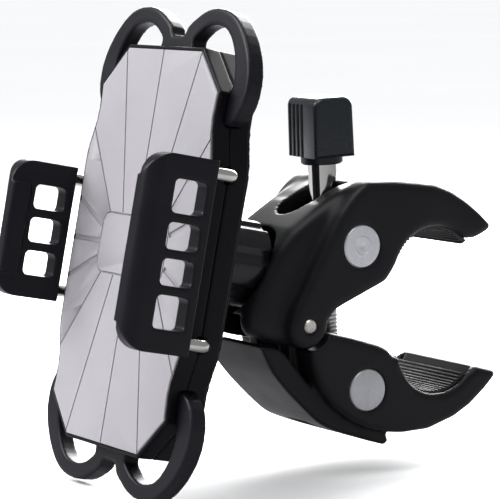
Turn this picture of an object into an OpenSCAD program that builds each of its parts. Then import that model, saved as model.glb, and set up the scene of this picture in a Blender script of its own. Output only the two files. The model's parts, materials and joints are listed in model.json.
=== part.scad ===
// Handlebar phone mount: a screw-closed bar clamp, a ball joint and a self-centring spring cradle.
// Origin on the bar's axis at mid width. +X runs along the bar, the cradle faces -Y, +Z is up.

/* [Handlebar clamp] */
// Radius of the bar that the jaws are drawn round
bar_r = 12; // [11:0.5:13]
// Width of both jaws along the bar
clamp_w = 35; // [31:1:44]
// Thickness of the side plates that carry the pivots
plate_t = 7.5; // [6:0.5:8]
// Thickness of the rubber liners that grip the bar
liner_t = 2; // [1.6:0.1:2.4]
// Distance from the hinge pin to each pivot bar
pivot_arm = 25; // [24.5:0.1:25.5]

/* [Clamp hardware] */
// Radius of the hinge pin
pin_r = 1.8; // [1.4:0.1:2.2]
// Radius of the two cross bars that the clamp screw runs through
pivot_r = 5.5; // [5:0.1:5.8]
// Radius of the clamp screw
screw_r = 3; // [2.4:0.1:3.1]
// Wall of the polished spacer sleeve round the screw
sleeve_t = 0.55; // [0.4:0.05:0.8]
// Width of the knob across the bar clamp's screw
knob_w = 16.4; // [14:0.2:22]
// Thickness of the knob
knob_t = 11.5; // [10:0.5:14]
// Height of the knob
knob_h = 15.5; // [12:0.5:20]

/* [Ball joint] */
// Radius of the ball
ball_r = 8; // [7.4:0.1:8.2]
// Radius of the ring nut over its lobes
nut_r = 11.2; // [10.9:0.1:11.4]
// Lobes round the ring nut
nut_lobes = 7; // [6:1:9]
// Distance from the phone pad's face back to the ball's centre
ball_back = 32; // [31:0.5:34]

/* [Cradle] */
// Width of the pad at its corners
pad_w = 56.8; // [52:0.2:66]
// Height of the pad
pad_h = 98.7; // [84:0.5:118]
// Thickness of the closed housing
body_t = 12.8; // [12.8:0.2:14]
// Backward lean of the cradle, in degrees
lean = 11; // [0:1:16]
// Height of each upper and lower band loop above the pad's end
loop_rise = 11; // [8:0.5:16]

/* [Phone jaws] */
// Length of the right jaw
right_jaw_l = 47; // [44:0.5:50]
// Length of the left jaw
left_jaw_l = 35; // [34:0.5:38]
// Depth of both jaws, front to back
jaw_d = 18.5; // [17:0.5:24]
// Wall thickness of both jaws
jaw_t = 5; // [4:0.25:6]
// Radius of the bent arm rods
rod_r = 1.65; // [1.2:0.05:1.75]
// Outward travel of each jaw
jaw_travel = 20; // [12:1:20]

/* [Hidden] */
$fn = 64;

// Clearances
run = 0.08;       // running fits on pins and bores, radial
free = 0.35;      // faces that move past each other
seat = 0.02;      // pieces pressed or screwed into one another
tiny = 0.01;

// Clamp, side view: [y, z]
pin_at = [-40, 8];
lobe_r = 6;
upper_angle = 50.7;
lower_angle = -45;
upper_pivot = pin_at + pivot_arm * [cos(upper_angle), sin(upper_angle)];
lower_pivot = pin_at + pivot_arm * [cos(lower_angle), sin(lower_angle)];
half_w = clamp_w / 2;
inner_w = half_w - plate_t;
hump_w = half_w - 3.5;
seat_r = bar_r + liner_t;
rim_relief = 0.3;
liner_w = clamp_w - 5.2;
liner_sink = 0.9;
upper_arc = [-0.7, 18.25];
upper_arc_r = bar_r + 0.8;
slot_w = 12;
screw_lean = atan2(lower_pivot.x - upper_pivot.x, upper_pivot.y - lower_pivot.y);
screw_span = norm(upper_pivot - lower_pivot);

// Screw stack, measured up the screw from the upper pivot bar
flat_h = 4.6;
sleeve_top = 20.1;
collar_h = 2;
sleeve_r = screw_r + run + sleeve_t;

// Cradle frame: x right, y up, z out of the pad's face
cradle_at = [0, -81.5, 29.1];
cup_t = 0.5;
cup_gap = 0.12;
recess_r = nut_r + 0.9;
mouth_h = 12;
flange_r = 6.2;
neck_r = 3.6;
stud_r = 3;
stud_nut_r = stud_r + 2.4;
tilt_max = 15;
both_max = acos(pow(cos(tilt_max), 2)) + 0.5;   // both tilts at once
flange_front = recess_r - 0.2;
flange_back = flange_front + 1.7;
floor_back = flange_back + 3.6;
nut_back = ball_back + 2.6;
socket_r = ball_r + 1.05;
socket_screw_u = 0.55 * ball_r;

// Housing layers, measured down from the pad's face
pad_t = 2;
lip_t = 1;
lip_drop = 0.25;
floor_z = -pad_t - 1.1;
seam_z = -5;
rod_z = seam_z;
band_top = floor_z - 0.1;
band_t = 4.2;
cavity_z = -10.5;
step_z = -10.5;
rack_top = -7.75;
rack_bot = cavity_z + 0.2;
carriage_bot = -7.4;
carriage_top = floor_z - 0.2;

// Pad outline
belly_half = pad_w / 2 + 1.8;
waist_half = pad_w / 2 - 1;
belly_v = 20;
waist_v = pad_h / 2 - 16;
corner_v = pad_h / 2 - 9.75;
end_half = pad_w / 2 - 10.8;
cavity_v = waist_v - 4;
cavity_half = belly_half - 1.6;
boss_at = [end_half + 0.9, pad_h / 2 - 6.9];
boss_r = 2.5;
shell_screw_r = 1;

// Jaws and their drive
jaw_in = belly_half + lip_t + 0.3;
rod_u = jaw_in + jaw_t / 2;
bend_r = rod_u - belly_half - lip_t + 0.2 - 0.6;
jaw_back = 1;
right_rod_v = right_jaw_l / 2 - 3;
left_rod_v = left_jaw_l / 2 - 3;
gear_m = 1;
gear_teeth = 10;
gear_r = gear_m * gear_teeth / 2;
pressure = 25;
addendum = 0.8 * gear_m;
dedendum = 1.05 * gear_m;
backlash = 0.12;
axle_r = 1.5;
rack_back = gear_r + 3.6;
bar_in = 2;
bar_out = 8;
spring_r = 1.8;
spring_v = cavity_v - spring_r - 1;
post_u = cavity_half - 6;

// ---- shared helpers ----

// Extrudes a side view along the bar from x0 to x1
module along_bar(x0, x1) {
    translate([x0, 0, 0]) rotate([90, 0, 90]) linear_extrude(x1 - x0) children();
}

// Round bar along X at a [y, z] place
module cross_bar(at, r, x0, x1) {
    translate([x0, at.x, at.y]) rotate([0, 90, 0]) cylinder(r = r, h = x1 - x0);
}

module both_sides() {
    children();
    mirror([1, 0, 0]) children();
}

module in_cradle() {
    translate(cradle_at) rotate([90 - lean, 0, 0]) children();
}

// Along the screw, zero at the upper pivot bar, z towards the knob
module on_screw(at = 0) {
    translate([0, upper_pivot.x, upper_pivot.y]) rotate([screw_lean, 0, 0])
        translate([0, 0, at]) children();
}

// At the ball, z pointing back into the clamp
module at_ball() {
    in_cradle() translate([0, 0, -ball_back]) rotate([180, 0, 0]) children();
}

function mirror_u(list) = [for (i = [len(list) - 1 : -1 : 0]) [-list[i].x, list[i].y]];
function arc(c, r, a0, a1, n) = [for (i = [0 : n]) c + r * [cos(a0 + (a1 - a0) * i / n),
                                                           sin(a0 + (a1 - a0) * i / n)]];
function ease(t) = (1 - cos(180 * t)) / 2;

// Closed smooth curve through points, n steps between each pair; extra columns are carried along
function knot(p, i) = p[(i + len(p)) % len(p)];
function cubic(a, b, c, d, t) = 0.5 * (2 * b + (c - a) * t + (2 * a - 5 * b + 4 * c - d) * t * t
                                       + (3 * b - a - 3 * c + d) * t * t * t);
function loop_curve(p, n) = [for (i = [0 : len(p) - 1]) for (k = [0 : n - 1])
    cubic(knot(p, i - 1), knot(p, i), knot(p, i + 1), knot(p, i + 2), k / n)];

// ---- clamp outlines, [y, z] ----

lobe_pts = arc(pin_at, lobe_r, 175, 368, 14);
upper_top = [[17.7, 30.5], [15.6, 32.4], [12.9, 34.7], [9.1, 37.5], [4.2, 40.3], [-0.6, 42.1],
             [-5.8, 42.8], [-13.1, 43.6], [-22.4, 45.1], [-25.4, 43.7]];
upper_back = [[-29.5, 37.2], [-33.5, 32.4], [-36.4, 27.5], [-39.4, 22.3], [-42, 17], [-44.4, 13]];
upper_outline = concat(
    arc(upper_arc, upper_arc_r, 163, 45, 10), [[12.4, 27.4], [16.7, 29.3]], upper_top, upper_back,
    lobe_pts, [[-31.4, 11.6], [-16.1, 17.8]]);
hump_outline = [[-21.8, 44.1], [-30.4, 43.7], [-35, 41.6], [-39.6, 38.5], [-43.5, 35.1], [-47, 30.5],
                [-50.5, 24], [-54.2, 17], [-56.2, 12], [-56.4, 8.6], [-55.2, 6.2], [-51, 4.5],
                [-45.8, 3.1], [-41.5, 2.2], [-38, 8], [-31.5, 13], [-31.5, 20], [-15, 24], [-14, 43.4]];

lower_edge = [[12.7, -6.3], [18.4, -7.8], [19.4, -8.8], [16.1, -12.2], [10.7, -16.5], [5.4, -19.3],
              [-2.6, -21.7], [-10.5, -22], [-15.8, -21.4], [-22, -19.8], [-27.4, -17.1],
              [-32.7, -13.1], [-36.4, -8.4], [-38.6, -3.2], [-39.4, 0.6]];
lower_outline = concat(
    arc([0, 0], bar_r + rim_relief, 188, 319, 12), lower_edge,
    [[-41, 6], [-35, 6], [-33.4, 5.8], [-26.2, 4], [-18.5, 1.7], [-15.9, 0.5], [-13.8, -1.8]]);
shield_outline = [[-52.4, 3.3], [-49.3, -2.8], [-46, -7], [-42.3, -10.8], [-35.3, -17.2], [-30.3, -19.9],
                  [-20.9, -23.2], [-14.7, -25.1], [-13.4, -24.2], [-14.6, -20.6], [-21.5, -18.4],
                  [-30.6, -13.4], [-36.8, -8.2], [-41.4, -3.4], [-45.8, 1.6], [-48.6, 2.9]];

// ---- clamp ----

module lower_jaw() {
    color([0.10, 0.10, 0.12]) difference() {
        union() {
            difference() {
                along_bar(-half_w, half_w) polygon(lower_outline);
                // hollow between the plates, open above the pivot bar
                along_bar(-inner_w, inner_w)
                    polygon([[-60, 20], [-60, -30], [-31, -30], [-15.6, -18.6], [-15.6, 20]]);
                // room for the upper jaw's lobes
                both_sides() cross_bar(pin_at, lobe_r + free, inner_w - free, half_w + 1);
            }
            along_bar(-hump_w, hump_w) polygon(shield_outline);
            // tongue between the lobes
            difference() {
                cross_bar(pin_at, lobe_r - 0.6, -inner_w + free, inner_w - free);
                along_bar(-4.6, 4.6) square([60, 60], center = true);
            }
            both_sides() along_bar(4.6, inner_w - free)
                polygon([[-41.5, 4], [-36, 4], [-29, -16], [-38, -14.5], [-41.5, -5]]);
        }
        cross_bar(pin_at, pin_r + seat, -half_w, half_w);
        cross_bar(lower_pivot, pivot_r + run, -half_w - 1, half_w + 1);
        // seat of the rubber liner between two thin rims
        cross_bar([0, 0], seat_r, -half_w + 2.5, half_w - 2.5);
        // slot that lets the screw's end through
        along_bar(-screw_r - 1.6, screw_r + 1.6)
            polygon([[-33, -4], [-33, -30], [-13.8, -30], [-15.5, -4]]);
    }
}

// Strip of rubber bent round a [y, z] centre, from a0 to a1 degrees
module liner_arc(c, r, a0, a1) {
    color([0.16, 0.16, 0.17]) intersection() {
        difference() {
            cross_bar(c, r + liner_t - seat, -liner_w / 2, liner_w / 2);
            cross_bar(c, r, -liner_w, liner_w);
        }
        along_bar(-half_w, half_w) polygon(concat([c], arc(c, 2 * r, a0, a1, 8)));
    }
}

module lower_liner() {
    liner_arc([0, 0], bar_r, 188, 320);
}

module upper_liner() {
    liner_arc(upper_arc, upper_arc_r - liner_sink, 38, 150);
}

module hinge_pin() {
    color([0.80, 0.79, 0.76]) cross_bar(pin_at, pin_r, -half_w + 0.2, half_w + 0.2);
}

module upper_jaw() {
    color([0.10, 0.10, 0.12]) difference() {
        union() {
            difference() {
                along_bar(-half_w, half_w) polygon(upper_outline);
                along_bar(-inner_w, inner_w)
                    polygon([[-60, -5], [-60, 38], [-34, 38], [-33.5, 45], [-14.8, 41], [-15.4, -5]]);
            }
            difference() {
                along_bar(-hump_w, hump_w) polygon(hump_outline);
                // hollow round the pivot bar and the stud's nut
                along_bar(-inner_w, inner_w)
                    polygon([[-32.6, 12], [-32.9, 34], [-34, 39.5], [-15.2, 39.5], [-15.2, 10]]);
            }
        }
        cross_bar(pin_at, pin_r + run, -half_w - 1, half_w + 1);
        cross_bar(pin_at, lobe_r + free, -inner_w, inner_w);
        cross_bar(upper_pivot, pivot_r + run, -half_w - 1, half_w + 1);
        // seat of the rubber liner
        cross_bar(upper_arc, upper_arc_r + liner_t - liner_sink, -half_w + 2.5, half_w - 2.5);
        // long opening that the screw swings in
        along_bar(-slot_w / 2, slot_w / 2)
            polygon([[-40.5, 33], [-41.5, 50], [-20.6, 50], [-20.6, 33]]);
        // round socket that the ring nut turns and tilts in
        at_ball() sphere(r = recess_r);
        at_ball() translate([0, 0, -mouth_h])
            cylinder(r1 = recess_r + free + mouth_h * tan(both_max), r2 = recess_r + free, h = mouth_h);
        at_ball() cylinder(r = flange_r + run, h = flange_back);
        at_ball() cylinder(r = stud_r + seat, h = floor_back + 8);
        at_ball() translate([0, 0, floor_back]) cylinder(r = stud_nut_r + 0.8, h = 8);
    }
}

module pivot_bar() {
    color([0.74, 0.74, 0.76]) children();
}

module upper_pivot_bar() {
    pivot_bar() difference() {
        cross_bar(upper_pivot, pivot_r, -half_w + 0.1, half_w - 0.1);
        on_screw(-pivot_r - 1) cylinder(r = screw_r + run, h = 2 * pivot_r + 2);
        on_screw(flat_h) translate([-sleeve_r - 1, -8, 0]) cube([2 * sleeve_r + 2, 16, 4]);
        on_screw(-flat_h - 4) translate([-sleeve_r - 1, -8, 0]) cube([2 * sleeve_r + 2, 16, 4]);
    }
}

module lower_pivot_bar() {
    pivot_bar() difference() {
        cross_bar(lower_pivot, pivot_r, -half_w + 0.1, half_w - 0.1);
        on_screw(-screw_span - pivot_r - 1) cylinder(r = screw_r + free, h = 2 * pivot_r + 2);
    }
}

module clamp_screw() {
    color([0.72, 0.72, 0.74]) on_screw(-screw_span - 5.8)
        cylinder(r = screw_r, h = screw_span + 5.8 + sleeve_top + collar_h + 8);
}

module spacer_sleeve() {
    color([0.85, 0.84, 0.82]) on_screw(flat_h) difference() {
        cylinder(r = sleeve_r, h = sleeve_top - flat_h);
        translate([0, 0, -1]) cylinder(r = screw_r + seat, h = sleeve_top);
    }
}

module retaining_ring() {
    color([0.5, 0.5, 0.52]) on_screw(-flat_h - 1.1) difference() {
        cylinder(r = screw_r + 1.2, h = 0.9);
        translate([0, 0, -1]) cylinder(r = screw_r + seat, h = 3);
    }
}

module knob() {
    top = sleeve_top + collar_h;
    color([0.09, 0.10, 0.11]) on_screw() difference() {
        union() {
            translate([0, 0, sleeve_top]) cylinder(r = knob_t / 2 - 0.3, h = collar_h + 1);
            rotate([0, 0, -6]) translate([-knob_w / 2, 0, top]) rotate([90, 0, 90])
                linear_extrude(knob_w)
                polygon(concat([[-knob_t / 2, 0], [knob_t / 2, 0]],
                    arc([knob_t / 2 - 2.6, knob_h - 2], 2, 0, 90, 5),
                    arc([-knob_t / 2 + 2.6, knob_h - 2], 2, 90, 180, 5)));
        }
        translate([0, 0, sleeve_top - 1]) cylinder(r = screw_r + seat, h = collar_h + 9);
    }
}

// ---- ball joint ----

module ball_stud() {
    color([0.12, 0.12, 0.13]) at_ball() union() {
        sphere(r = ball_r);
        cylinder(r = neck_r, h = flange_back);
        translate([0, 0, flange_front]) cylinder(r = flange_r, h = flange_back - flange_front);
        cylinder(r = stud_r, h = floor_back + 3.4);
    }
}

module stud_nut() {
    color([0.6, 0.6, 0.62]) at_ball() translate([0, 0, floor_back]) difference() {
        cylinder(r = stud_nut_r, h = 2.6, $fn = 6);
        translate([0, 0, -1]) cylinder(r = stud_r + seat, h = 5);
    }
}

// Dished cup lying against the front of the ball
module ball_cup(r0, edge) {
    at_ball() intersection() {
        difference() {
            sphere(r = r0 + cup_t);
            sphere(r = r0);
        }
        translate([0, 0, -r0 - 1]) cylinder(r = edge, h = r0 - 3);
    }
}

module friction_cup() {
    color([0.9, 0.9, 0.86]) ball_cup(ball_r + cup_gap, 5);
}

module spring_cup() {
    color([0.6, 0.6, 0.62]) ball_cup(ball_r + 2 * cup_gap + cup_t, 4.4);
}

// Slotted socket that closes round the ball
module ball_socket() {
    top = ball_back + 0.4;
    color([0.10, 0.10, 0.11]) in_cradle() difference() {
        translate([0, 0, -top]) cylinder(r = socket_r, h = top - body_t);
        translate([0, 0, -top - 1]) cylinder(r = 0.94 * ball_r, h = top + 1 - body_t - 2.2);
        translate([0, 0, -ball_back]) sphere(r = ball_r + run);
        // slots that let the socket spring open
        for (a = [45, 135]) rotate([0, 0, a]) translate([-socket_r - 1, -0.6, -top - 1])
            cube([2 * socket_r + 2, 1.2, top - body_t - 6]);
        for (s = [-1, 1]) translate([s * socket_screw_u, 0, -body_t - 3])
            cylinder(r = shell_screw_r + seat, h = 4);
    }
}

module socket_screws() {
    color([0.6, 0.6, 0.62]) in_cradle() for (s = [-1, 1])
        translate([s * socket_screw_u, 0, 0]) union() {
        translate([0, 0, -body_t - 2.2]) cylinder(r = shell_screw_r, h = 4);
        translate([0, 0, -body_t - 3.4]) cylinder(r = 1.9, h = 1.2);
    }
}

module ring_nut() {
    front = body_t + 0.6;
    color([0.10, 0.10, 0.11]) in_cradle() difference() {
        translate([0, 0, -nut_back]) cylinder(r = nut_r, h = nut_back - front);
        for (i = [0 : nut_lobes - 1]) rotate([0, 0, 90 + (i + 0.5) * 360 / nut_lobes])
            translate([nut_r + 1.9, 0, -nut_back - 1]) cylinder(r = 2.9, h = nut_back);
        translate([0, 0, -ball_back - 0.5]) cylinder(r = socket_r + run, h = ball_back);
        translate([0, 0, -ball_back]) sphere(r = ball_r + 0.3);
    }
}

// ---- cradle housing ----

// Half width of the pad at height v
function half_at(v) = let (a = abs(v))
    a <= belly_v ? belly_half
    : a <= waist_v ? belly_half + (waist_half - belly_half) * ease((a - belly_v) / (waist_v - belly_v))
    : waist_half + (pad_w / 2 - waist_half) * ease(0.5 + (a - corner_v) / (corner_v - waist_v) / 2);
side_v = [0, belly_v, belly_v + 3.5, belly_v + 6.5, waist_v - 3.2, waist_v, waist_v + 3.5, corner_v];
function quarter(g) = concat([for (v = side_v) [half_at(v) + g, v == corner_v ? v + g * 0.45 : v]],
                             [[end_half + g * 0.45, pad_h / 2 + g]]);
function outline(g) = let (q = quarter(g), top = concat(q, mirror_u(q)))
    concat(top, [for (p = top) if (p.y > 0) -p]);

module band_slots(g) {
    translate([0, 0, band_top - band_t - 0.1]) linear_extrude(band_t + 0.2) {
        band_profile(1, g);
        band_profile(-1, g);
    }
}

module rod_holes() {
    for (s = [-1, 1]) {
        translate([0, s * right_rod_v, rod_z]) rotate([0, 90, 0])
            cylinder(r = rod_r + free, h = pad_w);
        translate([0, s * left_rod_v, rod_z]) rotate([0, -90, 0])
            cylinder(r = rod_r + free, h = pad_w);
    }
}

// Room for the racks and springs, narrower above and below the belly
module cavity() {
    translate([0, 0, cavity_z]) linear_extrude(floor_z - cavity_z) {
        square([2 * cavity_half, 2 * belly_v + 8], center = true);
        square([2 * cavity_half - 4, 2 * cavity_v], center = true);
    }
}

module at_bosses() {
    for (u = [-1, 1], v = [-1, 1]) translate([u * boss_at.x, v * boss_at.y, 0]) children();
}

module rear_shell() {
    color([0.10, 0.10, 0.11]) in_cradle() {
        difference() {
            union() {
                translate([0, 0, step_z]) linear_extrude(seam_z - step_z) polygon(outline(lip_t));
                translate([0, 0, -body_t]) linear_extrude(step_z + body_t + tiny) polygon(outline(-2));
            }
            cavity();
            rod_holes();
            band_slots(0.15);
            at_bosses() translate([0, 0, -body_t - 1]) {
                cylinder(r = shell_screw_r + 0.1, h = body_t);
                cylinder(r = 2.2, h = 2.4);
            }
            translate([0, 0, cavity_z - 1.3]) cylinder(r = axle_r + seat, h = 3);
            for (s = [-1, 1]) translate([s * socket_screw_u, 0, -body_t - 1])
                cylinder(r = shell_screw_r + seat, h = 3);
        }
        // posts that the springs hook over
        for (s = [-1, 1]) translate([-s * post_u, s * spring_v, cavity_z - tiny])
            cylinder(r = 1.2, h = 7);
    }
}

module front_shell() {
    color([0.08, 0.08, 0.09]) in_cradle() difference() {
        translate([0, 0, seam_z]) linear_extrude(-seam_z - lip_drop) polygon(outline(lip_t));
        translate([0, 0, -pad_t]) linear_extrude(pad_t + 1) polygon(outline(0.1));
        cavity();
        rod_holes();
        band_slots(0.15);
        at_bosses() translate([0, 0, -body_t]) cylinder(r = shell_screw_r + seat, h = body_t - 2.6);
        translate([0, 0, floor_z - 1]) cylinder(r = axle_r + seat, h = 1.5);
    }
}

module shell_screws() {
    color([0.6, 0.6, 0.62]) in_cradle() at_bosses() union() {
        translate([0, 0, -body_t + 1.4]) cylinder(r = shell_screw_r, h = body_t - 4.4);
        translate([0, 0, -body_t + 0.2]) cylinder(r = 2, h = 1.2);
    }
}

module pad() {
    color([0.76, 0.75, 0.77]) in_cradle() translate([0, 0, -pad_t])
        linear_extrude(pad_t) polygon(outline(0));
}

// ---- silicone bands ----

// Middle line and width of one loop, as [u, height above the pad's end, width]
loop_mid = [[5.2, 3.6, 5], [8.3, 6.6, 4.3], [13, 8.7, 4.1], [18.2, 9.1, 4.1], [23.8, 7.6, 4.4],
            [28.6, 3.4, 5.2], [31.9, -2.6, 6.4], [32.4, -8.4, 7.2], [30, -13, 6.8], [24.5, -14.6, 5.4],
            [17.5, -13, 4.6], [11, -8.6, 4.6], [6.4, -2.4, 5]];
function loop_scaled() = [for (p = loop_mid)
    [p.x * pad_w / 56.8, pad_h / 2 + (p.y > 0 ? p.y * (loop_rise - 2) / 9 : p.y), p[2]]];
function side_of(c, s, g) = [for (i = [0 : len(c) - 1])
    let (d = knot(c, i + 1) - knot(c, i - 1), t = [d.x, d.y] / norm([d.x, d.y]))
    [c[i].x, c[i].y] + s * (c[i][2] / 2 + g) * [-t.y, t.x]];

// Both loops at one end: e is 1 for the upper end and -1 for the lower
module band_profile(e, g = 0) {
    web = [pad_h / 2 - 4, pad_h / 2 + 3.6];
    c = loop_curve(loop_scaled(), 3);
    inner = side_of(c, -1, g);
    half = [for (p = side_of(c, 1, g)) if (p.x > 5 || p.y < web[0] - g || p.y > web[1] + g) p];
    mirror([0, e < 0 ? 1 : 0]) difference() {
        polygon(concat(half, mirror_u(half)));
        polygon(inner);
        polygon(mirror_u(inner));
    }
}

module band(e) {
    color([0.09, 0.09, 0.11]) in_cradle() translate([0, 0, band_top - band_t])
        linear_extrude(band_t) band_profile(e);
}

module upper_band() { band(1); }
module lower_band() { band(-1); }

// ---- phone jaws ----

// Right-hand jaw seen from its end, u across and n out
function jaw_section() = concat(
    [[jaw_in, jaw_back], [jaw_in + jaw_t, jaw_back]],
    arc([jaw_in + jaw_t - 4, jaw_back + jaw_d - 4], 4, 0, 90, 6),
    [[jaw_in - 1, jaw_back + jaw_d], [jaw_in - 1.5, jaw_back + jaw_d - 0.6],
     [jaw_in - 1.5, jaw_back + jaw_d - 4.8], [jaw_in, jaw_back + jaw_d - 5.8]]);

// Window heights as [v0, v1] pairs
right_windows = [[9.7, 17.8], [1.1, 7.5], [-7.5, -1.1], [-17.8, -9.7]];
left_windows = [[5.4, 11.6], [-3.1, 3.1], [-11.6, -5.4]];
window_n = [3.4, 12.2];

module jaw(l, windows, rod_v) {
    difference() {
        intersection() {
            translate([0, l / 2, 0]) rotate([90, 0, 0]) linear_extrude(l) polygon(jaw_section());
            // rounded front corners, lip stepped in from both ends
            translate([jaw_in - 3, 0, 0]) rotate([90, 0, 90]) linear_extrude(jaw_t + 6)
                polygon(concat([[-l / 2, jaw_back], [l / 2, jaw_back]],
                    arc([l / 2 - 6, jaw_back + jaw_d - 6], 6, 0, 90, 6),
                    arc([-l / 2 + 6, jaw_back + jaw_d - 6], 6, 90, 180, 6)));
            union() {
                translate([jaw_in, -l, -1]) cube([jaw_t + 1, 2 * l, jaw_d + 4]);
                translate([jaw_in - 3, -l / 2 + 6, -1]) cube([jaw_t + 3, l - 12, jaw_d + 4]);
            }
        }
        for (w = windows) translate([jaw_in - 4, w[0], window_n[0]])
            cube([jaw_t + 8, w[1] - w[0], window_n[1] - window_n[0]]);
        for (s = [-1, 1]) translate([rod_u, s * rod_v, 0])
            cylinder(r = rod_r + seat, h = jaw_back + 4.5);
    }
}

// Straight leg, quarter bend and short leg into the jaw
module rods(rod_v) {
    for (s = [-1, 1]) translate([0, s * rod_v, rod_z]) union() {
        translate([bar_in + 1, 0, 0]) rotate([0, 90, 0])
            cylinder(r = rod_r, h = rod_u - bend_r - bar_in - 1);
        translate([rod_u - bend_r, 0, bend_r]) rotate([90, 0, 0]) rotate([0, 0, -90])
            rotate_extrude(angle = 90) translate([bend_r, 0]) circle(r = rod_r);
        translate([rod_u, 0, bend_r]) cylinder(r = rod_r, h = -rod_z + jaw_back + 4.3 - bend_r);
    }
}

// Rack tooth flank offsets from the pitch line
module rack_teeth() {
    pitch = PI * gear_m;
    half = pitch / 4 - backlash / 2;
    for (i = [-8 : 1]) translate([(i + 0.5) * pitch, 0])
        polygon([[-half - dedendum * tan(pressure), gear_r + dedendum],
                 [-half + addendum * tan(pressure), gear_r - addendum],
                 [half - addendum * tan(pressure), gear_r - addendum],
                 [half + dedendum * tan(pressure), gear_r + dedendum]]);
}

// Bar that joins both rods of a jaw, with its rack under the other jaw's bar
module rack(rod_v) {
    tail = -jaw_travel - 3;
    top_v = rod_v + 3;
    back_v = gear_r + dedendum;
    back_t = rack_back - back_v;
    difference() {
        union() {
            translate([bar_in, -top_v, carriage_bot])
                cube([bar_out - bar_in, 2 * top_v, carriage_top - carriage_bot]);
            // finger that the spring pulls on
            translate([bar_in, 0, carriage_bot])
                cube([4, spring_v + 1.6, carriage_top - carriage_bot]);
            // step down to the rack
            translate([bar_in, back_v, rack_bot])
                cube([bar_out - bar_in, back_t, carriage_bot + 0.2 - rack_bot]);
            translate([0, 0, rack_bot]) linear_extrude(rack_top - rack_bot) intersection() {
                union() {
                    rack_teeth();
                    translate([tail, back_v - tiny]) square([bar_in - tail + 1, back_t + tiny]);
                }
                translate([tail, 0]) square([bar_out - tail, 20]);
            }
        }
        for (s = [-1, 1]) translate([0, s * rod_v, rod_z]) rotate([0, 90, 0])
            cylinder(r = rod_r + seat, h = 20);
    }
}

module left_side() {
    rotate([0, 0, 180]) children();
}

module right_jaw() {
    color([0.09, 0.09, 0.10]) in_cradle() jaw(right_jaw_l, right_windows, right_rod_v);
}
module left_jaw() {
    color([0.09, 0.09, 0.10]) in_cradle() left_side() jaw(left_jaw_l, left_windows, left_rod_v);
}
module right_rods() {
    color([0.80, 0.78, 0.74]) in_cradle() rods(right_rod_v);
}
module left_rods() {
    color([0.80, 0.78, 0.74]) in_cradle() left_side() rods(left_rod_v);
}
module right_rack() {
    color([0.85, 0.85, 0.80]) in_cradle() rack(right_rod_v);
}
module left_rack() {
    color([0.85, 0.85, 0.80]) in_cradle() left_side() rack(left_rod_v);
}

// Involute flank, as an angle at radius r measured from the tooth's centre line
base_r = gear_r * cos(pressure);
function inv(a) = tan(a) * 180 / PI - a;
function flank(r) = (90 / gear_teeth - backlash / 2 / gear_r * 90 / PI) + inv(pressure)
                    - inv(acos(min(1, base_r / r)));
flank_r = [for (i = [0 : 4]) base_r + (gear_r + addendum - base_r) * i / 4];
function tooth(a) = concat(
    [(gear_r - dedendum) * [cos(a - flank(base_r)), sin(a - flank(base_r))]],
    [for (r = flank_r) r * [cos(a - flank(r)), sin(a - flank(r))]],
    [for (i = [4 : -1 : 0]) let (r = flank_r[i]) r * [cos(a + flank(r)), sin(a + flank(r))]],
    [(gear_r - dedendum) * [cos(a + flank(base_r)), sin(a + flank(base_r))]]);

module pinion() {
    color([0.85, 0.85, 0.80]) in_cradle() difference() {
        translate([0, 0, cavity_z + 0.25]) linear_extrude(rack_top - cavity_z - 0.3)
            polygon([for (i = [0 : gear_teeth - 1]) each tooth(90 + i * 360 / gear_teeth)]);
        translate([0, 0, cavity_z - 1]) cylinder(r = axle_r + run, h = 8);
    }
}

module pinion_axle() {
    color([0.7, 0.7, 0.72]) in_cradle() translate([0, 0, cavity_z - 1.2])
        cylinder(r = axle_r, h = floor_z + 0.4 - cavity_z + 1.2);
}

module return_springs() {
    color([0.7, 0.7, 0.72]) in_cradle() for (a = [0, 180]) rotate([0, 0, a])
        translate([-post_u + 1.4, spring_v, rod_z - 0.3]) rotate([0, 90, 0])
        cylinder(r = spring_r, h = post_u - 1.4 + bar_in - 0.1);
}

lower_jaw();
lower_liner();
hinge_pin();
upper_jaw();
upper_liner();
upper_pivot_bar();
lower_pivot_bar();
clamp_screw();
spacer_sleeve();
retaining_ring();
knob();
ball_stud();
stud_nut();
friction_cup();
spring_cup();
ball_socket();
socket_screws();
ring_nut();
rear_shell();
front_shell();
shell_screws();
pad();
upper_band();
lower_band();
right_jaw();
right_rods();
right_rack();
left_jaw();
left_rods();
left_rack();
pinion();
pinion_axle();
return_springs();
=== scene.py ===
import bmesh, bpy, json, math
from mathutils import Matrix, Vector


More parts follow.
